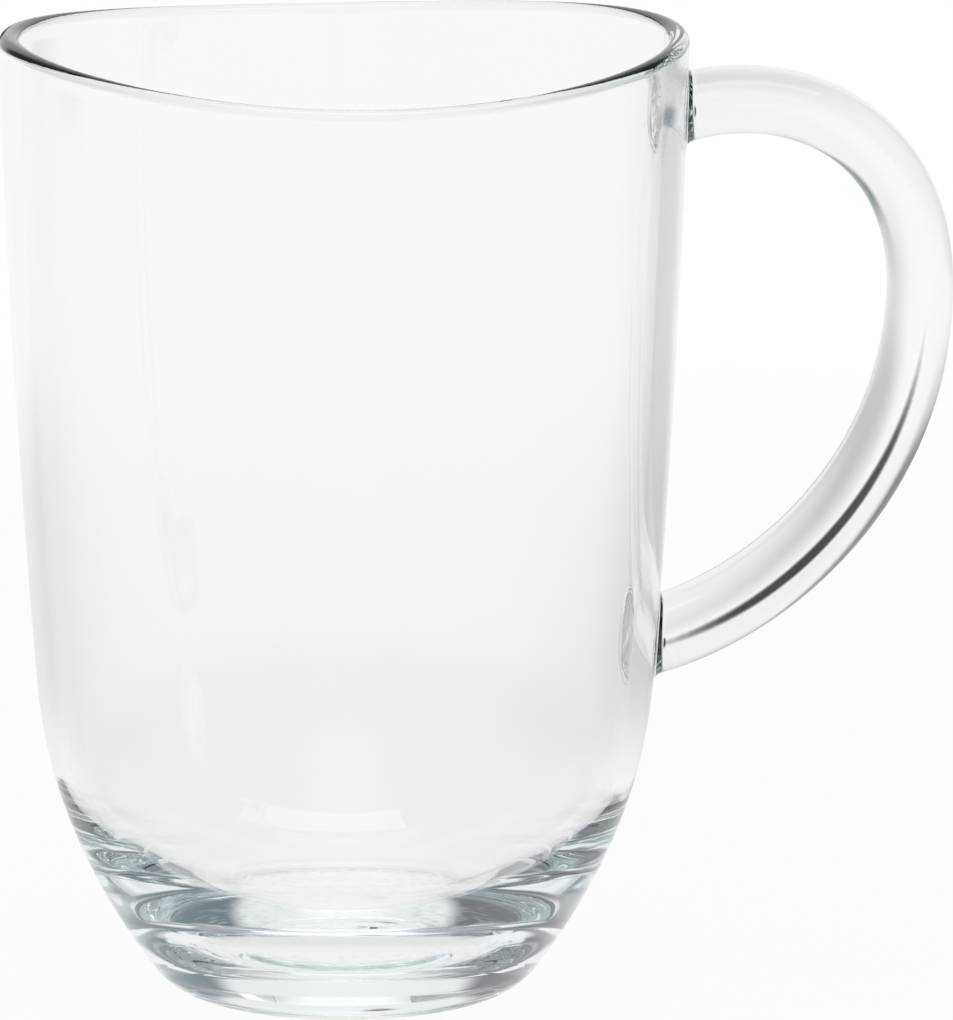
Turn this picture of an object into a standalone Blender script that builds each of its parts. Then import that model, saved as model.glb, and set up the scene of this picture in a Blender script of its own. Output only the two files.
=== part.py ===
"""Latte glass: a turned glass body with a thick base, and a solid glass handle fused to its side.

Metres, +Z up. The origin is the centre of the foot, where the glass stands, and the handle points along +X.
A lean is the angle of a wall from upright, growing on the way down.
"""
import math

import bmesh
import bpy
from mathutils import Vector

MM = 0.001

# Body, outside, from the lip down
RIM_DIAMETER = 85.0 * MM
HEIGHT = 120.6 * MM
LIP_THICKNESS = 2.9 * MM
LEAN_AT_LIP = math.radians(1.5)
LEAN_AT_SHOULDER = math.radians(4.6)
SHOULDER_RADIUS = 63.7 * MM
LEAN_AT_FLANK = math.radians(24.9)
FLANK_RADIUS = 76.6 * MM
LEAN_AT_HEEL = math.radians(37.4)
HEEL_RADIUS = 8.85 * MM

# The lip dips at the front and back, and the dip dies out lower down the wall
LIP_DIP = 3.0 * MM
LIP_DIP_REACH = 45.0 * MM

# Body, inside
WALL_AT_LIP = 2.0 * MM
WALL_AT_SHOULDER = 2.4 * MM
LIP_NECK = 5.0 * MM
BOWL_RADIUS = 28.0 * MM
LEAN_AT_BOTTOM = math.radians(52.0)
BASE_THICKNESS = 5.6 * MM

# Handle centre line, from its upper end on the wall over the crown to its lower end
HANDLE_TOP_DROP = 10.4 * MM
HANDLE_TOP_RISE = math.radians(14.0)
HANDLE_TOP_PULL = 15.2 * MM
HANDLE_REACH = 29.4 * MM
HANDLE_CROWN_DROP = 22.7 * MM
HANDLE_CROWN_PULL_UP = 18.3 * MM
HANDLE_CROWN_PULL_DOWN = 24.9 * MM
HANDLE_FOOT_HEIGHT = 43.8 * MM
HANDLE_FOOT_RISE = math.radians(14.0)
HANDLE_FOOT_PULL = 14.75 * MM

# Handle section, an oval that is squarer than an ellipse, and its flared ends
HANDLE_TOP_THICKNESS = 8.4 * MM
HANDLE_CROWN_THICKNESS = 8.1 * MM
HANDLE_FOOT_THICKNESS = 9.4 * MM
HANDLE_WIDTH = 11.0 * MM
HANDLE_SQUARENESS = 2.3
HANDLE_FLARE = 1.2 * MM
HANDLE_FLARE_LENGTH = 4.0 * MM
HANDLE_END_TURN = 14.0 * MM
FUSE_GAP = 0.3 * MM

# Facets
TURN_STEPS = 64
WALL_STEPS = 9
SHOULDER_STEPS = 6
FLANK_STEPS = 4
HEEL_STEPS = 6
LIP_STEPS = 8
NECK_STEPS = 5
INNER_WALL_STEPS = 8
BOWL_STEPS = 8
BOTTOM_STEPS = 8
HANDLE_STEPS = 18
HANDLE_SIDES = 20
CAP_RING_SIZE = 0.5
HALVINGS = 40
SLOPE_STEP = 0.01 * MM
MERGE_DISTANCE = 0.001 * MM
SMOOTH_ANGLE = math.radians(26.0)

GLASS_COLOUR = (0.93, 0.97, 0.97, 1.0)
GLASS_ROUGHNESS = 0.02
GLASS_IOR = 1.52


def smooth(x):
    """Eases from 0 to 1, level at both ends."""
    x = min(max(x, 0.0), 1.0)
    return x * x * (3.0 - 2.0 * x)


class Arc:
    """A stretch of the half section that turns from one lean to another on its way down."""

    def __init__(self, r_top, z_top, lean_top, lean_bottom, radius):
        self.r_top = r_top
        self.z_top = z_top
        self.lean_top = lean_top
        self.lean_bottom = lean_bottom
        self.radius = radius

    def at(self, lean):
        r = self.r_top - self.radius * (math.cos(self.lean_top) - math.cos(lean))
        z = self.z_top - self.radius * (math.sin(lean) - math.sin(self.lean_top))
        return r, z

    def lean_at(self, z):
        sine = math.sin(self.lean_top) + (self.z_top - z) / self.radius
        return math.asin(min(max(sine, -1.0), 1.0))

    def end(self):
        return self.at(self.lean_bottom)

    def points(self, steps):
        turn = (self.lean_bottom - self.lean_top) / steps
        return [self.at(self.lean_top + turn * i) for i in range(1, steps + 1)]


def arc_drop(lean_top, lean_bottom, radius):
    return radius * (math.sin(lean_bottom) - math.sin(lean_top))


LIP_RADIUS = LIP_THICKNESS / 2
LIP_CENTRE = (RIM_DIAMETER / 2 - LIP_RADIUS, HEIGHT - LIP_RADIUS)


def outside_arcs():
    """The wall, shoulder, flank and heel, each tangent to the next, ending level on the foot."""
    r = LIP_CENTRE[0] + LIP_RADIUS * math.cos(LEAN_AT_LIP)
    z = LIP_CENTRE[1] - LIP_RADIUS * math.sin(LEAN_AT_LIP)
    level = math.pi / 2
    below_wall = arc_drop(LEAN_AT_SHOULDER, LEAN_AT_FLANK, SHOULDER_RADIUS)
    below_wall += arc_drop(LEAN_AT_FLANK, LEAN_AT_HEEL, FLANK_RADIUS)
    below_wall += arc_drop(LEAN_AT_HEEL, level, HEEL_RADIUS)
    wall_radius = (z - below_wall) / (math.sin(LEAN_AT_SHOULDER) - math.sin(LEAN_AT_LIP))
    wall = Arc(r, z, LEAN_AT_LIP, LEAN_AT_SHOULDER, wall_radius)
    shoulder = Arc(*wall.end(), LEAN_AT_SHOULDER, LEAN_AT_FLANK, SHOULDER_RADIUS)
    flank = Arc(*shoulder.end(), LEAN_AT_FLANK, LEAN_AT_HEEL, FLANK_RADIUS)
    heel = Arc(*flank.end(), LEAN_AT_HEEL, level, HEEL_RADIUS)
    return wall, shoulder, flank, heel


WALL, SHOULDER, FLANK, HEEL = outside_arcs()
INSIDE_TOP = LIP_CENTRE[1] + LIP_RADIUS * math.sin(LEAN_AT_LIP)


def outside_lean(z):
    for arc in (WALL, SHOULDER, FLANK):
        if z >= arc.end()[1]:
            return arc, arc.lean_at(z)
    return HEEL, HEEL.lean_at(z)


def outside_radius(z):
    arc, lean = outside_lean(z)
    return arc.at(lean)[0]


def inside_radius(z):
    """Radius of the inner wall: the lip narrows to the wall, which thickens slowly downwards."""
    fall = (INSIDE_TOP - z) / (INSIDE_TOP - SHOULDER.z_top)
    thickness = WALL_AT_LIP + (WALL_AT_SHOULDER - WALL_AT_LIP) * fall
    neck = smooth(1.0 - (INSIDE_TOP - z) / LIP_NECK)
    thickness += (LIP_THICKNESS - WALL_AT_LIP) * neck
    return outside_radius(z) - thickness


def inside_lean(z):
    rise = inside_radius(z + SLOPE_STEP) - inside_radius(z - SLOPE_STEP)
    return math.atan2(rise, 2 * SLOPE_STEP)


def bowl_top(bottom_radius):
    """Where the bowl's arc, rising from the edge of a round bottom, gets as upright as the inner wall."""
    r_edge = bottom_radius * math.cos(LEAN_AT_BOTTOM)
    z_edge = BASE_THICKNESS + bottom_radius * (1.0 - math.sin(LEAN_AT_BOTTOM))
    low = z_edge
    high = z_edge + BOWL_RADIUS
    for _ in range(HALVINGS):
        middle = (low + high) / 2
        bowl_sine = math.sin(LEAN_AT_BOTTOM) - (middle - z_edge) / BOWL_RADIUS
        if math.sin(inside_lean(middle)) > bowl_sine:
            high = middle
        else:
            low = middle
    lean = inside_lean(high)
    return r_edge + BOWL_RADIUS * (math.cos(lean) - math.cos(LEAN_AT_BOTTOM)), high, lean


def inside_arcs():
    """The bowl and the bottom, tangent to each other and to the inner wall, ending level on the axis."""
    low = 0.0
    high = RIM_DIAMETER
    for _ in range(HALVINGS):
        middle = (low + high) / 2
        r, z, _ = bowl_top(middle)
        if r > inside_radius(z):
            high = middle
        else:
            low = middle
    r, z, lean = bowl_top(low)
    bowl = Arc(r, z, lean, LEAN_AT_BOTTOM, BOWL_RADIUS)
    bottom = Arc(*bowl.end(), LEAN_AT_BOTTOM, math.pi / 2, low)
    return bowl, bottom


def body_profile():
    """Half section of the body, from the foot's edge up the outside, over the lip and down to the axis."""
    outside = [(WALL.r_top, WALL.z_top)]
    outside += WALL.points(WALL_STEPS)
    outside += SHOULDER.points(SHOULDER_STEPS)
    outside += FLANK.points(FLANK_STEPS)
    outside += HEEL.points(HEEL_STEPS)
    profile = outside[::-1]

    lip_turn = math.pi / LIP_STEPS
    for i in range(1, LIP_STEPS + 1):
        angle = lip_turn * i - LEAN_AT_LIP
        profile.append((LIP_CENTRE[0] + LIP_RADIUS * math.cos(angle),
                        LIP_CENTRE[1] + LIP_RADIUS * math.sin(angle)))

    bowl, bottom = inside_arcs()
    neck_end = INSIDE_TOP - LIP_NECK
    heights = [INSIDE_TOP - LIP_NECK * i / NECK_STEPS for i in range(1, NECK_STEPS + 1)]
    step = (neck_end - bowl.z_top) / INNER_WALL_STEPS
    heights += [neck_end - step * i for i in range(1, INNER_WALL_STEPS + 1)]
    profile += [(inside_radius(z), z) for z in heights]
    return profile + bowl.points(BOWL_STEPS) + bottom.points(BOTTOM_STEPS)


def lip_drop(point):
    """How far a point moves down so that the lip dips at the front and back."""
    level = smooth((point.z - (HEIGHT - LIP_DIP_REACH)) / (LIP_DIP_REACH - LIP_THICKNESS))
    return LIP_DIP * level * math.sin(math.atan2(point.y, point.x)) ** 2


def build_body():
    """Turns the half section, closes the foot and dips the lip."""
    mesh = bmesh.new()
    verts = [mesh.verts.new((r, 0.0, z)) for r, z in body_profile()]
    edges = [mesh.edges.new(pair) for pair in zip(verts, verts[1:])]
    bmesh.ops.spin(mesh, geom=verts + edges, axis=(0, 0, 1), cent=(0, 0, 0),
                   angle=2 * math.pi, steps=TURN_STEPS, use_merge=True)
    bmesh.ops.remove_doubles(mesh, verts=mesh.verts, dist=MERGE_DISTANCE)
    bmesh.ops.holes_fill(mesh, edges=mesh.edges, sides=0)
    for vert in mesh.verts:
        vert.co.z -= lip_drop(vert.co)
    return add_object("glass_body", mesh)


def bezier(p0, p1, p2, p3, t):
    """Point and unit tangent of a cubic curve."""
    s = 1.0 - t
    point = s * s * s * p0 + 3 * s * s * t * p1 + 3 * s * t * t * p2 + t * t * t * p3
    tangent = s * s * (p1 - p0) + 2 * s * t * (p2 - p1) + t * t * (p3 - p2)
    return point, tangent.normalized()


def wall_point(z):
    """Where a handle end meets the wall, in the plane of the handle."""
    return Vector((outside_radius(z) + FUSE_GAP, 0.0, z))


def wall_up(z):
    """Direction up along the wall, in the plane of the handle."""
    lean = outside_lean(z)[1]
    return Vector((math.sin(lean), 0.0, math.cos(lean)))


def along(rise, length):
    return Vector((math.cos(rise), 0.0, math.sin(rise))) * length


def handle_stations():
    """Centre, tangent and thickness along the handle, closer together towards the wall."""
    top = wall_point(HEIGHT - HANDLE_TOP_DROP)
    foot = wall_point(HANDLE_FOOT_HEIGHT)
    crown = Vector((RIM_DIAMETER / 2 + HANDLE_REACH, 0.0, top.z - HANDLE_CROWN_DROP))
    above_crown = crown + Vector((0.0, 0.0, HANDLE_CROWN_PULL_UP))
    below_crown = crown - Vector((0.0, 0.0, HANDLE_CROWN_PULL_DOWN))
    upper = (top, top + along(HANDLE_TOP_RISE, HANDLE_TOP_PULL), above_crown, crown)
    lower = (crown, below_crown, foot + along(HANDLE_FOOT_RISE, HANDLE_FOOT_PULL), foot)
    stations = []
    for i in range(HANDLE_STEPS):
        t = 1.0 - math.cos(math.pi / 2 * i / HANDLE_STEPS)
        thickness = HANDLE_TOP_THICKNESS + (HANDLE_CROWN_THICKNESS - HANDLE_TOP_THICKNESS) * t
        stations.append((*bezier(*upper, t), thickness))
    for i in range(HANDLE_STEPS + 1):
        t = math.sin(math.pi / 2 * i / HANDLE_STEPS)
        thickness = HANDLE_CROWN_THICKNESS + (HANDLE_FOOT_THICKNESS - HANDLE_CROWN_THICKNESS) * t
        stations.append((*bezier(*lower, t), thickness))
    return stations


def oval(angle):
    """Point of a unit oval: a superellipse, a little squarer than a circle."""
    power = 2.0 / HANDLE_SQUARENESS
    c = math.cos(angle)
    s = math.sin(angle)
    return math.copysign(abs(c) ** power, c), math.copysign(abs(s) ** power, s)


def handle_section(centre, tangent, thickness, top, foot):
    """Half axes of the section: square to the centre line, but turned to lie along the wall at the ends."""
    end = top if (centre - top).length < (centre - foot).length else foot
    away = (centre - end).length
    square = Vector((-tangent.z, 0.0, tangent.x))
    upright = wall_up(end.z)
    if square.dot(upright) < 0.0:
        upright = -upright
    across = square.lerp(upright, smooth(1.0 - away / HANDLE_END_TURN)).normalized()
    flare = HANDLE_FLARE * max(0.0, 1.0 - away / HANDLE_FLARE_LENGTH) ** 2
    half_thickness = thickness / 2 / square.dot(across) + flare
    half_width = HANDLE_WIDTH / 2 + flare
    return across * half_thickness, Vector((0.0, half_width, 0.0))


def seat_on_wall(point):
    """Moves a point of a handle end in or out to lie one gap from the wall."""
    reach = outside_radius(point.z) + FUSE_GAP
    return Vector((math.sqrt(reach * reach - point.y * point.y), point.y, point.z))


def ring(mesh, centre, across, aside, size, seated):
    """One loop of vertices round the handle."""
    verts = []
    for i in range(HANDLE_SIDES):
        c, s = oval(2 * math.pi * i / HANDLE_SIDES)
        point = centre + (across * c + aside * s) * size
        verts.append(mesh.verts.new(seat_on_wall(point) if seated else point))
    return verts


def bridge(mesh, loop_a, loop_b):
    for i in range(HANDLE_SIDES):
        j = (i + 1) % HANDLE_SIDES
        mesh.faces.new((loop_a[i], loop_a[j], loop_b[j], loop_b[i]))


def close_end(mesh, loop, section):
    """Covers a handle end with faces that follow the wall."""
    inner = ring(mesh, *section, CAP_RING_SIZE, True)
    bridge(mesh, loop, inner)
    middle = mesh.verts.new(seat_on_wall(section[0]))
    for i in range(HANDLE_SIDES):
        mesh.faces.new((inner[i], inner[(i + 1) % HANDLE_SIDES], middle))


def build_handle():
    """Lofts the oval along the centre line, with both ends shaped to the wall."""
    mesh = bmesh.new()
    stations = handle_stations()
    top = stations[0][0]
    foot = stations[-1][0]
    sections = []
    for centre, tangent, thickness in stations:
        sections.append((centre, *handle_section(centre, tangent, thickness, top, foot)))
    last = len(sections) - 1
    loops = [ring(mesh, *section, 1.0, i in (0, last)) for i, section in enumerate(sections)]
    for loop_a, loop_b in zip(loops, loops[1:]):
        bridge(mesh, loop_a, loop_b)
    close_end(mesh, loops[0], sections[0])
    close_end(mesh, loops[-1], sections[-1])
    return add_object("handle", mesh)


def glass_material(name):
    material = bpy.data.materials.new(name)
    material.use_nodes = True
    shader = material.node_tree.nodes["Principled BSDF"]
    shader.inputs["Base Color"].default_value = GLASS_COLOUR
    shader.inputs["Roughness"].default_value = GLASS_ROUGHNESS
    shader.inputs["Metallic"].default_value = 0.0
    shader.inputs["IOR"].default_value = GLASS_IOR
    shader.inputs["Transmission Weight"].default_value = 1.0
    return material


def add_object(name, mesh):
    """Makes a smooth-shaded object with faces pointing out, in its own glass."""
    bmesh.ops.recalc_face_normals(mesh, faces=mesh.faces)
    data = bpy.data.meshes.new(name)
    mesh.to_mesh(data)
    mesh.free()
    data.shade_smooth()
    data.set_sharp_from_angle(angle=SMOOTH_ANGLE)
    data.materials.append(glass_material(name + "_glass"))
    piece = bpy.data.objects.new(name, data)
    bpy.context.scene.collection.objects.link(piece)
    return piece


def main():
    for old in list(bpy.data.objects):
        bpy.data.objects.remove(old, do_unlink=True)
    glass = bpy.data.objects.new("latte_glass", None)
    bpy.context.scene.collection.objects.link(glass)
    for piece in (build_body(), build_handle()):
        piece.parent = glass


main()
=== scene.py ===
"""Looks of the latte glass: fine meshes for the body and the handle, their glass, a studio and the camera.

Metres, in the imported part's frame: the origin is the foot's centre, +Z is up and +X points to the handle.
A lean is the angle of a wall from upright, growing on the way down.
"""
import math

import bpy
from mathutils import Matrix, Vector


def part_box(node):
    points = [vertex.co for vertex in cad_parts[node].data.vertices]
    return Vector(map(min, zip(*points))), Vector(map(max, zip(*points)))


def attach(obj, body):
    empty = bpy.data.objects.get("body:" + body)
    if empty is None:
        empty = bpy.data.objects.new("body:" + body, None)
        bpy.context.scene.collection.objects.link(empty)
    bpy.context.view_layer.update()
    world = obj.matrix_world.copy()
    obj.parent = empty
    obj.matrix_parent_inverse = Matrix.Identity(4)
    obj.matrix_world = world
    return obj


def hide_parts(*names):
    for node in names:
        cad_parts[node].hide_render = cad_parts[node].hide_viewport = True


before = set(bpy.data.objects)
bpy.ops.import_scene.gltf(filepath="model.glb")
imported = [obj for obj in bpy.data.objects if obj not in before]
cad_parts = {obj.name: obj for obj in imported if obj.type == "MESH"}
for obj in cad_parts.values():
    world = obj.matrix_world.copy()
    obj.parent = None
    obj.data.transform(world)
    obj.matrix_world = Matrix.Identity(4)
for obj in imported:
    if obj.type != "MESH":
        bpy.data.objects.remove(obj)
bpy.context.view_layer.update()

MM = 0.001
BODY_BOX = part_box("glass_body")

# Body, outside, from the lip down
RIM_RADIUS = BODY_BOX[1].y
HEIGHT = BODY_BOX[1].z
LIP_RADIUS = 1.3 * MM
LEAN_AT_LIP = math.radians(1.5)
LEAN_AT_SHOULDER = math.radians(4.6)
SHOULDER_RADIUS = 63.7 * MM
LEAN_AT_FLANK = math.radians(24.9)
FLANK_RADIUS = 76.6 * MM
LEAN_AT_HEEL = math.radians(37.4)
HEEL_RADIUS = 8.85 * MM
LIP_DIP = 3.0 * MM
LIP_DIP_REACH = 45.0 * MM

# Body, inside. Each wave of the wall is a count round it, a height and a starting angle
WALL_AT_SHOULDER = 2.2 * MM
BOWL_RADIUS = 27.5 * MM
LEAN_AT_BOTTOM = math.radians(46.7)
BASE_THICKNESS = 8.3 * MM
FLOOR_RADIUS = 8.0 * MM
RING_INNER_RADIUS = 12.8 * MM
RING_OUTER_RADIUS = 15.2 * MM
RING_DEPTH = 0.09 * MM
RING_EDGE = 0.4 * MM
WALL_WAVES = (
    (5, 0.020 * MM, 0.6),
    (9, 0.016 * MM, 2.1),
    (14, 0.012 * MM, 4.4),
    (23, 0.007 * MM, 1.3),
)
WALL_WAVES_REACH = 14.0 * MM

# Handle
HANDLE_TOP_DROP = 10.4 * MM
HANDLE_TOP_RISE = math.radians(14.0)
HANDLE_TOP_PULL = 15.2 * MM
HANDLE_REACH = 29.4 * MM
HANDLE_CROWN_DROP = 22.7 * MM
HANDLE_CROWN_PULL_UP = 18.3 * MM
HANDLE_CROWN_PULL_DOWN = 24.9 * MM
HANDLE_FOOT_HEIGHT = 43.8 * MM
HANDLE_FOOT_RISE = math.radians(14.0)
HANDLE_FOOT_PULL = 14.75 * MM
HANDLE_TOP_THICKNESS = 8.4 * MM
HANDLE_CROWN_THICKNESS = 8.1 * MM
HANDLE_FOOT_THICKNESS = 9.4 * MM
HANDLE_WIDTH = 11.0 * MM
HANDLE_SQUARENESS = 2.3
HANDLE_FILLET = 1.2 * MM
HANDLE_END_TURN = 14.0 * MM
HANDLE_SINK = 0.02 * MM

# Fineness of the meshes
TURN_STEPS = 256
WALL_STEPS = 48
SHOULDER_STEPS = 32
FLANK_STEPS = 24
HEEL_STEPS = 32
FOOT_STEPS = 6
LIP_STEPS = 40
INNER_WALL_STEPS = 60
BOWL_STEPS = 48
CORNER_STEPS = 140
BOTTOM_STEPS = 12
HANDLE_STEPS = 110
HANDLE_SIDES = 80
CAP_RINGS = 6
HALVINGS = 40
SLOPE_STEP = 0.01 * MM

# Glass. Scales are in features per metre, heights of the relief in metres, and details in octaves of noise
SURFACE_MARK = "surface"
DRAWN_MARK = "drawn"
GLASS_IOR = 1.52
GLASS_TINT = (1.0, 1.0, 1.0, 1.0)
ABSORPTION_COLOUR = (0.36, 0.75, 0.80, 1.0)
ABSORPTION_DENSITY = 1.8
WAVE_SCALE = 70.0
WAVE_DETAIL = 0.0
WAVE_HEIGHT = 18.0e-6
DRAG_SCALE = 420.0
DRAG_DETAIL = 1.0
DRAG_STRETCH = (1.0, 1.0, 0.05)
DRAG_HEIGHT = 1.6e-6
SMUDGE_SCALE = 38.0
SMUDGE_DETAIL = 2.0
SMUDGE_RANGE = (0.52, 0.80)
SMUDGE_ROUGHNESS = 0.035
SCUFF_SCALE = 900.0
SCUFF_DETAIL = 1.0
SCUFF_RANGE = (0.45, 0.65)
SCUFF_TOP = (0.05 * MM, 0.35 * MM)
SCUFF_ROUGHNESS = 0.22
DRAWN_SCALE = 520.0
DRAWN_DETAIL = 1.0
DRAWN_STRETCH = (0.06, 1.0, 1.0)
DRAWN_HEIGHT = 8.0e-6
CRINKLE_SCALE = 750.0
CRINKLE_DETAIL = 1.0
CRINKLE_HEIGHT = 3.5e-6
FINGER_SCALE = 85.0
FINGER_DETAIL = 2.0
FINGER_RANGE = (0.48, 0.78)
FINGER_ROUGHNESS = 0.045

# Camera, with sizes in the photograph's pixels where they say so
CAMERA_AZIMUTH = math.radians(-7.0)
CAMERA_ELEVATION = math.radians(11.1)
CAMERA_DISTANCE = 1.779
CAMERA_TARGET = Vector((0.0, 0.0, 59.7 * MM))
PHOTO_WIDTH = 953
PHOTO_HEIGHT = 1020
TARGET_PIXEL = (345.0, 516.8)
FOCAL_PIXELS = 14370.0
SENSOR_WIDTH = 36.0

# Studio. A brightness of 1 is white. Angles run round from straight behind the glass, or up from level
ROOM_LEFT = (0.15, 0.15, 0.16, 1.0)
ROOM_RIGHT = (0.13, 0.18, 0.20, 1.0)
ROOM_MIDDLE = 0.3
HORIZON = (0.50, 0.50, 0.50, 1.0)
HORIZON_TO = math.radians(9.0)
BACKDROP = (0.90, 0.90, 0.90, 1.0)
BACKDROP_EDGE = math.radians(23.0)
BACKDROP_FADE = math.radians(8.0)
CEILING = (0.82, 0.82, 0.82, 1.0)
CEILING_ASIDE = (0.24, 0.25, 0.27, 1.0)
CEILING_SPREAD = (0.10, 0.36)
CEILING_FROM = math.radians(20.0)
CEILING_TO = math.radians(44.0)
WHITE = (1.0, 1.0, 1.0, 1.0)
FLOOR_GAP = 0.3 * MM
FLOOR_HALF_SIDE = 0.5
FLOOR_FADE = (0.30, 0.46)
GROUND_EDGE = (math.radians(-9.0), math.radians(6.0))
FLOOR_WHITE = 0.9
FLOOR_GLOW = 0.96
# Painted falloff: the floor's glow, as glass sees it, darkens by angle round the glass, most off to the
# right, less to the left and a little towards the front
FLOOR_PAINTED_FALLOFF = ((-180, 0.90), (-90, 0.86), (-38, 0.76), (-6, 0.95),
               (4, 0.95), (33, 0.60), (90, 0.80), (180, 0.90))
GROUND_ROUND = ((-180, 0.90), (-90, 0.92), (-38, 0.93), (-6, 0.96),
                (4, 0.95), (33, 0.68), (90, 0.85), (180, 0.90))
# Painted shade: near the glass the floor glows an even 0.95 in place of the painted falloff
FLOOR_NEAR = (0.95, 0.95, 0.95, 1.0)
FLOOR_NEAR_FADE = (0.09, 0.22)
# Painted shadow of the glass: the floor's glow darkens a little towards the foot
FOOT_PAINTED_SHADE = 0.975
FOOT_FADE = 0.45
# Painted contact shadow: a darker ring in the floor's glow round the foot's edge
CONTACT_SHADE = 0.86
CONTACT_RADIUS = 18.5 * MM
CONTACT_WIDTH = 3.5 * MM
GAP = (0.03, 0.03, 0.03, 1.0)
GAP_ROUND = math.radians(-6.8)
GAP_UP = math.radians(-2.6)
GAP_HALF_WIDTH = math.radians(5.4)
GAP_HALF_HEIGHT = math.radians(6.3)
GAP_SOFTNESS = (0.25, 1.25)
SOFTBOX_PLACE = (0.18, -0.10, 1.2)
SOFTBOX_WIDTH = 1.10
SOFTBOX_DEPTH = 0.36
SOFTBOX_WATTS = 1.4
LIGHT_BOUNCES = 40

# Places of the colour sockets on the Mix node
MIX_COLOUR_INPUTS = (6, 7)
MIX_COLOUR_OUTPUT = 2


def smooth(x):
    """Eases from 0 to 1, level at both ends."""
    x = min(max(x, 0.0), 1.0)
    return x * x * (3.0 - 2.0 * x)


class Arc:
    """A stretch of the outline that turns from one lean to another on its way down."""

    def __init__(self, r_top, z_top, lean_top, lean_bottom, radius):
        self.r_top = r_top
        self.z_top = z_top
        self.lean_top = lean_top
        self.lean_bottom = lean_bottom
        self.radius = radius

    def at(self, lean):
        r = self.r_top - self.radius * (math.cos(self.lean_top) - math.cos(lean))
        z = self.z_top - self.radius * (math.sin(lean) - math.sin(self.lean_top))
        return r, z

    def lean_at(self, z):
        sine = math.sin(self.lean_top) + (self.z_top - z) / self.radius
        return math.asin(min(max(sine, -1.0), 1.0))

    def end(self):
        return self.at(self.lean_bottom)

    def points(self, steps):
        turn = (self.lean_bottom - self.lean_top) / steps
        return [self.at(self.lean_top + turn * i) for i in range(1, steps + 1)]


def arc_drop(lean_top, lean_bottom, radius):
    return radius * (math.sin(lean_bottom) - math.sin(lean_top))


LIP_CENTRE = (RIM_RADIUS - LIP_RADIUS, HEIGHT - LIP_RADIUS)


def outside_arcs():
    """The wall, shoulder, flank and heel, each tangent to the next, ending level on the foot."""
    r = LIP_CENTRE[0] + LIP_RADIUS * math.cos(LEAN_AT_LIP)
    z = LIP_CENTRE[1] - LIP_RADIUS * math.sin(LEAN_AT_LIP)
    level = math.pi / 2
    below_wall = arc_drop(LEAN_AT_SHOULDER, LEAN_AT_FLANK, SHOULDER_RADIUS)
    below_wall += arc_drop(LEAN_AT_FLANK, LEAN_AT_HEEL, FLANK_RADIUS)
    below_wall += arc_drop(LEAN_AT_HEEL, level, HEEL_RADIUS)
    wall_radius = (z - below_wall) / (math.sin(LEAN_AT_SHOULDER) - math.sin(LEAN_AT_LIP))
    wall = Arc(r, z, LEAN_AT_LIP, LEAN_AT_SHOULDER, wall_radius)
    shoulder = Arc(*wall.end(), LEAN_AT_SHOULDER, LEAN_AT_FLANK, SHOULDER_RADIUS)
    flank = Arc(*shoulder.end(), LEAN_AT_FLANK, LEAN_AT_HEEL, FLANK_RADIUS)
    heel = Arc(*flank.end(), LEAN_AT_HEEL, level, HEEL_RADIUS)
    return wall, shoulder, flank, heel


WALL, SHOULDER, FLANK, HEEL = outside_arcs()
INSIDE_TOP = LIP_CENTRE[1] + LIP_RADIUS * math.sin(LEAN_AT_LIP)


def outside_lean(z):
    for arc in (WALL, SHOULDER, FLANK):
        if z >= arc.end()[1]:
            return arc, arc.lean_at(z)
    return HEEL, HEEL.lean_at(z)


def outside_radius(z):
    arc, lean = outside_lean(z)
    return arc.at(lean)[0]


def inside_radius(z):
    """Radius of the inner wall, which is as thick as the lip at the top and thins slowly downwards."""
    fall = (INSIDE_TOP - z) / (INSIDE_TOP - SHOULDER.z_top)
    return outside_radius(z) - 2 * LIP_RADIUS - (WALL_AT_SHOULDER - 2 * LIP_RADIUS) * fall


def inside_lean(z):
    rise = inside_radius(z + SLOPE_STEP) - inside_radius(z - SLOPE_STEP)
    return math.atan2(rise, 2 * SLOPE_STEP)


def bowl_top(corner_radius):
    """Where the bowl's arc, rising from the bottom's round corner, gets as upright as the inner wall."""
    r_edge = FLOOR_RADIUS + corner_radius * math.cos(LEAN_AT_BOTTOM)
    z_edge = BASE_THICKNESS + corner_radius * (1.0 - math.sin(LEAN_AT_BOTTOM))
    low = z_edge
    high = z_edge + BOWL_RADIUS
    for _ in range(HALVINGS):
        middle = (low + high) / 2
        bowl_sine = math.sin(LEAN_AT_BOTTOM) - (middle - z_edge) / BOWL_RADIUS
        if math.sin(inside_lean(middle)) > bowl_sine:
            high = middle
        else:
            low = middle
    lean = inside_lean(high)
    return r_edge + BOWL_RADIUS * (math.cos(lean) - math.cos(LEAN_AT_BOTTOM)), high, lean


def inside_arcs():
    """The bowl and the corner, tangent to the inner wall and each other, ending level on the cup's floor."""
    low = 0.0
    high = 2 * RIM_RADIUS
    for _ in range(HALVINGS):
        middle = (low + high) / 2
        r, z, _ = bowl_top(middle)
        if r > inside_radius(z):
            high = middle
        else:
            low = middle
    r, z, lean = bowl_top(low)
    bowl = Arc(r, z, lean, LEAN_AT_BOTTOM, BOWL_RADIUS)
    corner = Arc(*bowl.end(), LEAN_AT_BOTTOM, math.pi / 2, low)
    return bowl, corner


def with_ring(point):
    """Sinks the shallow ring that the mould leaves on the floor of the cup."""
    r, z = point
    inside = smooth((r - RING_INNER_RADIUS) / RING_EDGE + 0.5)
    outside = smooth((RING_OUTER_RADIUS - r) / RING_EDGE + 0.5)
    return r, z - RING_DEPTH * inside * outside


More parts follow.
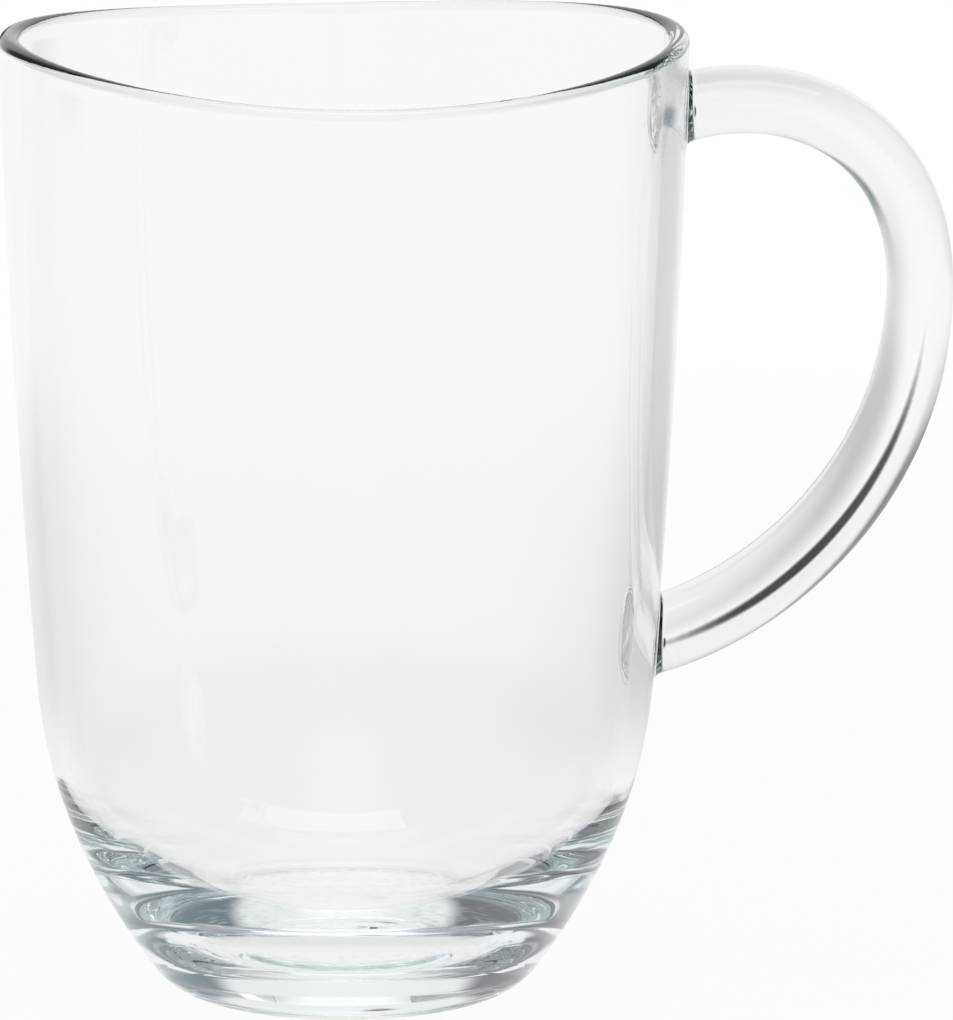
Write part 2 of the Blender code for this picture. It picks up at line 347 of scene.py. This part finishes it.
def body_profile():
    """Half section of the body, from the foot up the outside, over the lip and down to the cup's floor."""
    outside = [(WALL.r_top, WALL.z_top)]
    outside += WALL.points(WALL_STEPS)
    outside += SHOULDER.points(SHOULDER_STEPS)
    outside += FLANK.points(FLANK_STEPS)
    outside += HEEL.points(HEEL_STEPS)
    foot_radius = outside[-1][0]
    foot = [(foot_radius * i / FOOT_STEPS, 0.0) for i in range(1, FOOT_STEPS)]
    profile = foot + outside[::-1]

    lip_turn = math.pi / LIP_STEPS
    for i in range(1, LIP_STEPS + 1):
        angle = lip_turn * i - LEAN_AT_LIP
        profile.append((LIP_CENTRE[0] + LIP_RADIUS * math.cos(angle),
                        LIP_CENTRE[1] + LIP_RADIUS * math.sin(angle)))

    bowl, corner = inside_arcs()
    step = (INSIDE_TOP - bowl.z_top) / INNER_WALL_STEPS
    heights = [INSIDE_TOP - step * i for i in range(1, INNER_WALL_STEPS + 1)]
    profile += [(inside_radius(z), z) for z in heights]
    profile += bowl.points(BOWL_STEPS)
    bottom = corner.points(CORNER_STEPS)
    floor_radii = [FLOOR_RADIUS * (1.0 - i / BOTTOM_STEPS) for i in range(1, BOTTOM_STEPS)]
    bottom += [(r, BASE_THICKNESS) for r in floor_radii]
    return profile + [with_ring(point) for point in bottom]


def wall_wave(angle, z):
    """How far the inner wall strays from round, dying out towards the lip and the floor of the cup."""
    below_lip = smooth((INSIDE_TOP - z) / WALL_WAVES_REACH)
    above_floor = smooth((z - BASE_THICKNESS) / WALL_WAVES_REACH)
    wave = sum(height * math.sin(count * angle + start) for count, height, start in WALL_WAVES)
    return below_lip * above_floor * wave


def lip_drop(x, y, z):
    """How far a point moves down so that the lip dips at the front and back."""
    level = smooth((z - (HEIGHT - LIP_DIP_REACH)) / (LIP_DIP_REACH - 2 * LIP_RADIUS))
    return LIP_DIP * level * (y * y / (x * x + y * y))


def build_body():
    """Turns the half section about the axis, with a point at each end of it, and dips the lip."""
    profile = body_profile()
    verts = []
    faces = []
    lip = profile.index(max(profile, key=lambda point: point[1]))
    for row, (r, z) in enumerate(profile):
        for i in range(TURN_STEPS):
            angle = 2 * math.pi * i / TURN_STEPS
            reach = r + wall_wave(angle, z) if row > lip else r
            x = reach * math.cos(angle)
            y = reach * math.sin(angle)
            verts.append(Vector((x, y, z - lip_drop(x, y, z))))
    last = (len(profile) - 1) * TURN_STEPS
    foot_centre = len(verts)
    floor_centre = foot_centre + 1
    verts += [Vector((0.0, 0.0, 0.0)), Vector((0.0, 0.0, BASE_THICKNESS))]
    for i in range(TURN_STEPS):
        j = (i + 1) % TURN_STEPS
        for row in range(0, last, TURN_STEPS):
            above = row + TURN_STEPS
            faces.append((row + i, row + j, above + j, above + i))
        faces.append((foot_centre, j, i))
        faces.append((floor_centre, last + i, last + j))
    body = add_piece("clear_body", verts, faces, body_glass())
    mark_surface(body, "POINT", [past_handle_ends(point) for point in verts])
    return body


def bezier(p0, p1, p2, p3, t):
    """Point and unit tangent of a cubic curve."""
    s = 1.0 - t
    point = s * s * s * p0 + 3 * s * s * t * p1 + 3 * s * t * t * p2 + t * t * t * p3
    tangent = s * s * (p1 - p0) + 2 * s * t * (p2 - p1) + t * t * (p3 - p2)
    return point, tangent.normalized()


def wall_point(z):
    """Where a handle end meets the wall, in the plane of the handle."""
    return Vector((outside_radius(z) - HANDLE_SINK, 0.0, z))


def wall_up(z):
    """Direction up along the wall, in the plane of the handle."""
    lean = outside_lean(z)[1]
    return Vector((math.sin(lean), 0.0, math.cos(lean)))


def along(rise, length):
    return Vector((math.cos(rise), 0.0, math.sin(rise))) * length


def handle_stations():
    """Centre, tangent and thickness along the handle, closer together towards the wall."""
    top = wall_point(HEIGHT - HANDLE_TOP_DROP)
    foot = wall_point(HANDLE_FOOT_HEIGHT)
    crown = Vector((RIM_RADIUS + HANDLE_REACH, 0.0, top.z - HANDLE_CROWN_DROP))
    above_crown = crown + Vector((0.0, 0.0, HANDLE_CROWN_PULL_UP))
    below_crown = crown - Vector((0.0, 0.0, HANDLE_CROWN_PULL_DOWN))
    upper = (top, top + along(HANDLE_TOP_RISE, HANDLE_TOP_PULL), above_crown, crown)
    lower = (crown, below_crown, foot + along(HANDLE_FOOT_RISE, HANDLE_FOOT_PULL), foot)
    stations = []
    for i in range(HANDLE_STEPS):
        t = 1.0 - math.cos(math.pi / 2 * i / HANDLE_STEPS)
        thickness = HANDLE_TOP_THICKNESS + (HANDLE_CROWN_THICKNESS - HANDLE_TOP_THICKNESS) * t
        stations.append((*bezier(*upper, t), thickness))
    for i in range(HANDLE_STEPS + 1):
        t = math.sin(math.pi / 2 * i / HANDLE_STEPS)
        thickness = HANDLE_CROWN_THICKNESS + (HANDLE_FOOT_THICKNESS - HANDLE_CROWN_THICKNESS) * t
        stations.append((*bezier(*lower, t), thickness))
    return stations


def oval(angle):
    """Point of a unit oval: a superellipse, a little squarer than a circle."""
    power = 2.0 / HANDLE_SQUARENESS
    c = math.cos(angle)
    s = math.sin(angle)
    return math.copysign(abs(c) ** power, c), math.copysign(abs(s) ** power, s)


def fillet(away):
    """How far the handle swells where it runs out onto the wall, at a distance from it."""
    gone = 1.0 - min(away / HANDLE_FILLET, 1.0)
    return HANDLE_FILLET * (1.0 - math.sqrt(1.0 - gone * gone))


def handle_section(centre, tangent, thickness, top, foot):
    """Half axes of the section, and the share by which it is turned at the ends to lie along the wall."""
    end = top if (centre - top).length < (centre - foot).length else foot
    away = (centre - end).length
    square = Vector((-tangent.z, 0.0, tangent.x))
    upright = wall_up(end.z)
    if square.dot(upright) < 0.0:
        upright = -upright
    turned = smooth(1.0 - away / HANDLE_END_TURN)
    across = square.lerp(upright, turned).normalized()
    swell = fillet(away)
    half_thickness = thickness / 2 / square.dot(across) + swell
    half_width = HANDLE_WIDTH / 2 + swell
    return across * half_thickness, Vector((0.0, half_width, 0.0)), turned


def seat_on_wall(point):
    """Moves a point of a handle end in or out to lie just inside the wall's surface."""
    reach = outside_radius(point.z) - HANDLE_SINK
    return Vector((math.sqrt(reach * reach - point.y * point.y), point.y, point.z))


def wall_falls_back(point):
    """How far the round wall lies behind its foremost line, at a point's side of the handle."""
    reach = outside_radius(point.z)
    return reach - math.sqrt(reach * reach - point.y * point.y)


def handle_ring(section, size, seated):
    """One loop of points round the handle."""
    centre, across, aside, turned = section
    points = []
    for i in range(HANDLE_SIDES):
        c, s = oval(2 * math.pi * i / HANDLE_SIDES)
        point = centre + (across * c + aside * s) * size
        if seated:
            point = seat_on_wall(point)
        elif turned > 0.0:
            point.x -= turned * wall_falls_back(point)
        points.append(point)
    return points


def build_handle():
    """Lofts the oval along the centre line, with both ends shaped to the wall."""
    stations = handle_stations()
    top = stations[0][0]
    foot = stations[-1][0]
    sections = [(centre, *handle_section(centre, tangent, thickness, top, foot))
                for centre, tangent, thickness in stations]
    last = len(sections) - 1
    cap_sizes = [i / CAP_RINGS for i in range(1, CAP_RINGS)]
    rings = [handle_ring(sections[0], size, True) for size in cap_sizes]
    rings += [handle_ring(section, 1.0, i in (0, last)) for i, section in enumerate(sections)]
    rings += [handle_ring(sections[-1], size, True) for size in cap_sizes[::-1]]
    verts = [point for ring in rings for point in ring]
    end = len(verts) - HANDLE_SIDES
    top_centre = len(verts)
    foot_centre = top_centre + 1
    verts += [seat_on_wall(top), seat_on_wall(foot)]
    faces = []
    for i in range(HANDLE_SIDES):
        j = (i + 1) % HANDLE_SIDES
        for row in range(0, end, HANDLE_SIDES):
            after = row + HANDLE_SIDES
            faces.append((row + i, after + i, after + j, row + j))
        faces.append((top_centre, i, j))
        faces.append((foot_centre, end + j, end + i))
    handle = add_piece("clear_handle", verts, faces, handle_glass())
    top_cap = set(range(CAP_RINGS * HANDLE_SIDES)) | {top_centre}
    foot_cap = set(range(end - (CAP_RINGS - 1) * HANDLE_SIDES, top_centre)) | {foot_centre}
    cap_verts = top_cap | foot_cap
    mark_surface(handle, "FACE", [-1.0 if cap_verts.issuperset(face) else 1.0 for face in faces])
    mark_drawn(handle, rings)
    return handle


def mark_drawn(handle, rings):
    """Keeps for each point how far along the handle it lies and where in its section, for lines along it."""
    drawn = []
    reach = 0.0
    before = None
    for ring in rings:
        centre = sum(ring, Vector()) / len(ring)
        reach += (centre - before).length if before else 0.0
        before = centre
        for i in range(HANDLE_SIDES):
            c, s = oval(2 * math.pi * i / HANDLE_SIDES)
            drawn += [reach, HANDLE_TOP_THICKNESS / 2 * c, HANDLE_WIDTH / 2 * s]
    top_middle = [0.0, 0.0, 0.0]
    foot_middle = [reach, 0.0, 0.0]
    drawn += top_middle + foot_middle
    mark = handle.data.attributes.new(DRAWN_MARK, "FLOAT_VECTOR", "POINT")
    mark.data.foreach_set("vector", drawn)


def past_handle_ends(point):
    """Below 0 where a handle end covers the wall, above 0 on the rest of the body."""
    if point.x < 0.0 or math.hypot(point.x, point.y) < outside_radius(point.z) - LIP_RADIUS:
        return 1.0
    ends = (
        (HEIGHT - HANDLE_TOP_DROP, HANDLE_TOP_THICKNESS),
        (HANDLE_FOOT_HEIGHT, HANDLE_FOOT_THICKNESS),
    )
    swell = fillet(HANDLE_SINK)
    nearest = 1.0
    for height, thickness in ends:
        along_wall = abs((point - wall_point(height)).dot(wall_up(height))) / (thickness / 2 + swell)
        aside = abs(point.y) / (HANDLE_WIDTH / 2 + swell)
        nearest = min(nearest, along_wall ** HANDLE_SQUARENESS + aside ** HANDLE_SQUARENESS - 1.0)
    return nearest


def mark_surface(piece, domain, values):
    """Keeps a number for each point or face, below 0 where the glass runs on into the other piece."""
    mark = piece.data.attributes.new(SURFACE_MARK, "FLOAT", domain)
    mark.data.foreach_set("value", values)


def add_piece(name, verts, faces, material):
    """Makes a smooth-shaded mesh that rides on the part."""
    data = bpy.data.meshes.new(name)
    data.from_pydata([tuple(v) for v in verts], [], faces)
    data.validate()
    data.shade_smooth()
    data.materials.append(material)
    piece = bpy.data.objects.new(name, data)
    bpy.context.scene.collection.objects.link(piece)
    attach(piece, "root")
    return piece


def glass(name):
    """Clear glass, tinted where it is thick, and open where it runs on into the other piece."""
    material = bpy.data.materials.new(name)
    material.use_nodes = True
    tree = material.node_tree
    shader = tree.nodes["Principled BSDF"]
    shader.inputs["Base Color"].default_value = GLASS_TINT
    shader.inputs["IOR"].default_value = GLASS_IOR
    shader.inputs["Transmission Weight"].default_value = 1.0
    mark = add_node(tree, "Attribute", attribute_name=SURFACE_MARK)
    tree.links.new(math_node(tree, "GREATER_THAN", mark.outputs["Fac"], 0.0), shader.inputs["Alpha"])
    absorption = add_node(tree, "VolumeAbsorption")
    absorption.inputs["Color"].default_value = ABSORPTION_COLOUR
    absorption.inputs["Density"].default_value = ABSORPTION_DENSITY
    output = tree.nodes["Material Output"]
    tree.links.new(absorption.outputs["Volume"], output.inputs["Volume"])
    return material


def body_glass():
    """Glass with the slow waves and upright drag lines of a mould, faint smudges and a scuffed foot."""
    material = glass("body_glass")
    tree = material.node_tree
    place = add_node(tree, "TexCoord").outputs["Object"]
    waves = noise(tree, place, WAVE_SCALE, WAVE_DETAIL)
    drag = noise(tree, stretched(tree, place, DRAG_STRETCH), DRAG_SCALE, DRAG_DETAIL)
    relief = math_node(tree, "ADD", math_node(tree, "MULTIPLY", waves, WAVE_HEIGHT),
                       math_node(tree, "MULTIPLY", drag, DRAG_HEIGHT))
    smudge = noise(tree, place, SMUDGE_SCALE, SMUDGE_DETAIL)
    smudge = map_range(tree, smudge, SMUDGE_RANGE, (0.0, SMUDGE_ROUGHNESS))
    height = add_node(tree, "SeparateXYZ")
    tree.links.new(place, height.inputs["Vector"])
    low = map_range(tree, height.outputs["Z"], SCUFF_TOP, (1.0, 0.0))
    scuff = noise(tree, place, SCUFF_SCALE, SCUFF_DETAIL)
    scuff = map_range(tree, scuff, SCUFF_RANGE, (0.0, SCUFF_ROUGHNESS))
    roughness = math_node(tree, "MAXIMUM", smudge, math_node(tree, "MULTIPLY", low, scuff))
    finish_glass(tree, relief, roughness)
    return material


def handle_glass():
    """Glass with lines drawn along the handle, a finely crinkled skin and the marks of fingers."""
    material = glass("handle_glass")
    tree = material.node_tree
    place = add_node(tree, "Attribute", attribute_name=DRAWN_MARK).outputs["Vector"]
    lines = noise(tree, stretched(tree, place, DRAWN_STRETCH), DRAWN_SCALE, DRAWN_DETAIL)
    crinkle = noise(tree, place, CRINKLE_SCALE, CRINKLE_DETAIL)
    relief = math_node(tree, "ADD", math_node(tree, "MULTIPLY", lines, DRAWN_HEIGHT),
                       math_node(tree, "MULTIPLY", crinkle, CRINKLE_HEIGHT))
    fingers = noise(tree, place, FINGER_SCALE, FINGER_DETAIL)
    finish_glass(tree, relief, map_range(tree, fingers, FINGER_RANGE, (0.0, FINGER_ROUGHNESS)))
    return material


def finish_glass(tree, relief, roughness):
    """Puts a relief, in metres, and a roughness on the glass."""
    shader = tree.nodes["Principled BSDF"]
    bump = add_node(tree, "Bump")
    bump.inputs["Distance"].default_value = 1.0
    tree.links.new(relief, bump.inputs["Height"])
    tree.links.new(bump.outputs["Normal"], shader.inputs["Normal"])
    tree.links.new(roughness, shader.inputs["Roughness"])


def noise(tree, vector, scale, detail):
    """Soft random values from 0 to 1."""
    node = add_node(tree, "TexNoise")
    node.inputs["Scale"].default_value = scale
    node.inputs["Detail"].default_value = detail
    tree.links.new(vector, node.inputs["Vector"])
    return node.outputs["Fac"]


def stretched(tree, vector, factors):
    """A vector with each part multiplied, so that a pattern on it is drawn out along the smallest factor."""
    node = add_node(tree, "VectorMath", operation="MULTIPLY")
    node.inputs[1].default_value = factors
    tree.links.new(vector, node.inputs[0])
    return node.outputs["Vector"]


def add_node(tree, kind, **settings):
    node = tree.nodes.new("ShaderNode" + kind)
    for name, value in settings.items():
        setattr(node, name, value)
    return node


def math_node(tree, operation, first, second):
    """One sum on two values, each a constant or a socket."""
    node = add_node(tree, "Math", operation=operation)
    for socket, value in zip(node.inputs, (first, second)):
        if isinstance(value, (int, float)):
            socket.default_value = value
        else:
            tree.links.new(value, socket)
    return node.outputs["Value"]


def map_range(tree, value, from_range, to_range, way="SMOOTHSTEP"):
    """Eases a value from one range to another."""
    node = add_node(tree, "MapRange", interpolation_type=way)
    tree.links.new(value, node.inputs["Value"])
    ends = ("From Min", "From Max", "To Min", "To Max")
    for name, end in zip(ends, (*from_range, *to_range)):
        node.inputs[name].default_value = end
    return node.outputs["Result"]


def mix_colour(tree, factor, first, second):
    """Mixes two colours, each a constant or a socket."""
    node = add_node(tree, "Mix", data_type="RGBA")
    tree.links.new(factor, node.inputs["Factor"])
    for place, colour in zip(MIX_COLOUR_INPUTS, (first, second)):
        socket = node.inputs[place]
        if isinstance(colour, tuple):
            socket.default_value = colour
        else:
            tree.links.new(colour, socket)
    return node.outputs[MIX_COLOUR_OUTPUT]


def by_angle(tree, angle, stops):
    """Brightness that changes smoothly between stops, each an angle in degrees and a brightness."""
    first = stops[0][0]
    last = stops[-1][0]
    ramp = add_node(tree, "ValToRGB")
    ramp.color_ramp.interpolation = "EASE"
    place = map_range(tree, angle, (math.radians(first), math.radians(last)), (0.0, 1.0), "LINEAR")
    tree.links.new(place, ramp.inputs["Fac"])
    elements = ramp.color_ramp.elements
    while len(elements) < len(stops):
        elements.new(1.0)
    for element, (degrees, brightness) in zip(elements, stops):
        element.position = (degrees - first) / (last - first)
        element.color = (brightness, brightness, brightness, 1.0)
    return ramp.outputs["Color"]


def room_parts(tree, vector):
    """Right, ahead and up parts of a vector in the room, which is laid out along the photograph's view."""
    turn = add_node(tree, "VectorRotate", rotation_type="Z_AXIS")
    turn.inputs["Angle"].default_value = -CAMERA_AZIMUTH
    tree.links.new(vector, turn.inputs["Vector"])
    parts = add_node(tree, "SeparateXYZ")
    tree.links.new(turn.outputs["Vector"], parts.inputs["Vector"])
    return parts.outputs


def backdrop_gap(tree, around, height):
    """1 in a small dark gap low in the backdrop, which the handle bends into view, and 0 elsewhere."""
    across = math_node(tree, "DIVIDE", math_node(tree, "SUBTRACT", around, GAP_ROUND), GAP_HALF_WIDTH)
    upward = math_node(tree, "DIVIDE", math_node(tree, "SUBTRACT", height, GAP_UP), GAP_HALF_HEIGHT)
    across = math_node(tree, "POWER", across, 2.0)
    upward = math_node(tree, "POWER", upward, 2.0)
    return map_range(tree, math_node(tree, "ADD", across, upward), GAP_SOFTNESS, (1.0, 0.0))


def build_world():
    """A dim room with a white backdrop and a ceiling pale over the middle, plain white to the camera."""
    world = bpy.data.worlds.new("studio")
    bpy.context.scene.world = world
    world.use_nodes = True
    tree = world.node_tree
    right, ahead, up = room_parts(tree, add_node(tree, "TexCoord").outputs["Generated"])
    rightward = map_range(tree, right, (-ROOM_MIDDLE, ROOM_MIDDLE), (0.0, 1.0))
    room = mix_colour(tree, rightward, ROOM_LEFT, ROOM_RIGHT)
    around = math_node(tree, "ARCTAN2", right, ahead)
    aside = math_node(tree, "ABSOLUTE", around, 0.0)
    behind = map_range(tree, aside, (BACKDROP_EDGE, BACKDROP_EDGE + BACKDROP_FADE), (1.0, 0.0))
    height = math_node(tree, "ARCSINE", up, 0.0)
    room = mix_colour(tree, map_range(tree, height, (0.0, HORIZON_TO), (0.0, 1.0)), HORIZON, room)
    level = mix_colour(tree, behind, room, BACKDROP)
    above = map_range(tree, height, (CEILING_FROM, CEILING_TO), (0.0, 1.0))
    off_middle = map_range(tree, math_node(tree, "ABSOLUTE", right, 0.0), CEILING_SPREAD, (0.0, 1.0))
    studio = mix_colour(tree, above, level, mix_colour(tree, off_middle, CEILING, CEILING_ASIDE))
    ground = by_angle(tree, around, GROUND_ROUND)
    studio = mix_colour(tree, map_range(tree, height, GROUND_EDGE, (0.0, 1.0)), ground, studio)
    studio = mix_colour(tree, backdrop_gap(tree, around, height), studio, GAP)
    seen = add_node(tree, "LightPath").outputs["Is Camera Ray"]
    tree.links.new(mix_colour(tree, seen, studio, WHITE), tree.nodes["Background"].inputs["Color"])


def floor_material():
    """Matt white that looks evenly white directly, and through glass glows with painted shade: darker off to
    the sides and front away from the glass, an even 0.95 near it, a little darker towards the foot and with
    a painted contact shadow ring round it, while the diffuse share keeps a soft shadow.
    """
    material = bpy.data.materials.new("white_floor")
    material.use_nodes = True
    tree = material.node_tree
    tree.nodes.remove(tree.nodes["Principled BSDF"])
    paint = add_node(tree, "BsdfDiffuse")
    paint.inputs["Color"].default_value = (FLOOR_WHITE, FLOOR_WHITE, FLOOR_WHITE, 1.0)
    path = add_node(tree, "LightPath").outputs
    seen = math_node(tree, "MAXIMUM", path["Is Glossy Ray"], path["Is Transmission Ray"])
    seen = math_node(tree, "MAXIMUM", path["Is Camera Ray"], seen)
    place = add_node(tree, "TexCoord").outputs["Object"]
    right, ahead, _ = room_parts(tree, place)
    # Painted falloff of light on the floor, by angle round the glass
    painted_falloff = by_angle(tree, math_node(tree, "ARCTAN2", right, ahead), FLOOR_PAINTED_FALLOFF)
    away = add_node(tree, "VectorMath", operation="LENGTH")
    tree.links.new(place, away.inputs[0])
    away = away.outputs["Value"]
    # Painted shade: an even, slightly dim glow near the glass
    painted_falloff = mix_colour(tree, map_range(tree, away, FLOOR_NEAR_FADE, (0.0, 1.0)), FLOOR_NEAR, painted_falloff)
    # Painted shadow of the glass, darkening the floor's glow towards the foot
    near = map_range(tree, away, (0.0, FOOT_FADE), (FOOT_PAINTED_SHADE, 1.0))
    # Painted contact shadow, a darker ring round the foot's edge
    from_contact = math_node(tree, "ABSOLUTE", math_node(tree, "SUBTRACT", away, CONTACT_RADIUS), 0.0)
    contact = map_range(tree, from_contact, (0.0, CONTACT_WIDTH), (CONTACT_SHADE, 1.0))
    # The floor's glow for glass, with its painted falloff, painted shade near the foot and painted contact
    # shadow
    white = math_node(tree, "MULTIPLY", painted_falloff, math_node(tree, "MULTIPLY", near, contact))
    glow = add_node(tree, "Emission")
    tree.links.new(math_node(tree, "MAXIMUM", path["Is Camera Ray"], white), glow.inputs["Strength"])
    mix = add_node(tree, "MixShader")
    tree.links.new(math_node(tree, "MULTIPLY", seen, FLOOR_GLOW), mix.inputs["Fac"])
    tree.links.new(paint.outputs["BSDF"], mix.inputs[1])
    tree.links.new(glow.outputs["Emission"], mix.inputs[2])
    fade = add_node(tree, "MixShader")
    tree.links.new(map_range(tree, away, FLOOR_FADE, (0.0, 1.0)), fade.inputs["Fac"])
    tree.links.new(mix.outputs["Shader"], fade.inputs[1])
    tree.links.new(add_node(tree, "BsdfTransparent").outputs["BSDF"], fade.inputs[2])
    tree.links.new(fade.outputs["Shader"], tree.nodes["Material Output"].inputs["Surface"])
    return material


def build_floor():
    """A square of floor just under the foot."""
    side = FLOOR_HALF_SIDE
    data = bpy.data.meshes.new("floor")
    corners = [(x * side, y * side, -FLOOR_GAP) for x, y in ((-1, -1), (1, -1), (1, 1), (-1, 1))]
    data.from_pydata(corners, [], [(0, 1, 2, 3)])
    data.materials.append(floor_material())
    floor = bpy.data.objects.new("floor", data)
    bpy.context.scene.collection.objects.link(floor)


def in_room(right, ahead, up):
    """Place in the part's frame of a point to the right of the glass, behind it and above the floor."""
    c = math.cos(CAMERA_AZIMUTH)
    s = math.sin(CAMERA_AZIMUTH)
    return Vector((right * c - ahead * s, right * s + ahead * c, up))


def build_softbox():
    """A wide strip of light overhead, level and in line with the camera."""
    data = bpy.data.lights.new("softbox", "AREA")
    data.shape = "RECTANGLE"
    data.size = SOFTBOX_WIDTH
    data.size_y = SOFTBOX_DEPTH
    data.energy = SOFTBOX_WATTS
    light = bpy.data.objects.new("softbox", data)
    light.location = in_room(*SOFTBOX_PLACE)
    light.rotation_euler = (0.0, 0.0, CAMERA_AZIMUTH)
    light.visible_camera = False
    bpy.context.scene.collection.objects.link(light)


def let_light_through():
    """Lets light cross the thick glass many times before it is given up."""
    cycles = bpy.context.scene.cycles
    cycles.max_bounces = LIGHT_BOUNCES
    cycles.glossy_bounces = LIGHT_BOUNCES
    cycles.transmission_bounces = LIGHT_BOUNCES
    cycles.transparent_max_bounces = LIGHT_BOUNCES


def build_camera():
    """Stands where the photograph was taken, and turns so that the glass lies where it does there."""
    flat = math.cos(CAMERA_ELEVATION)
    right = in_room(1.0, 0.0, 0.0)
    back = in_room(0.0, -flat, math.sin(CAMERA_ELEVATION))
    up = back.cross(right)
    metres_per_pixel = CAMERA_DISTANCE / FOCAL_PIXELS
    aim = CAMERA_TARGET.copy()
    aim += right * (PHOTO_WIDTH / 2 - TARGET_PIXEL[0]) * metres_per_pixel
    aim += up * (TARGET_PIXEL[1] - PHOTO_HEIGHT / 2) * metres_per_pixel
    data = bpy.data.cameras.new("camera")
    data.sensor_width = SENSOR_WIDTH
    data.lens = FOCAL_PIXELS / max(PHOTO_WIDTH, PHOTO_HEIGHT) * SENSOR_WIDTH
    camera = bpy.data.objects.new("camera", data)
    camera.location = CAMERA_TARGET + back * CAMERA_DISTANCE
    camera.rotation_mode = "QUATERNION"
    camera.rotation_quaternion = (aim - camera.location).to_track_quat("-Z", "Y")
    bpy.context.scene.collection.objects.link(camera)
    bpy.context.scene.camera = camera


def main():
    body = build_body()
    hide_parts("glass_body")
    handle = build_handle()
    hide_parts("handle")
    build_floor()
    build_world()
    build_softbox()
    build_camera()
    let_light_through()
    bpy.context.scene.view_settings.view_transform = "Standard"


main()
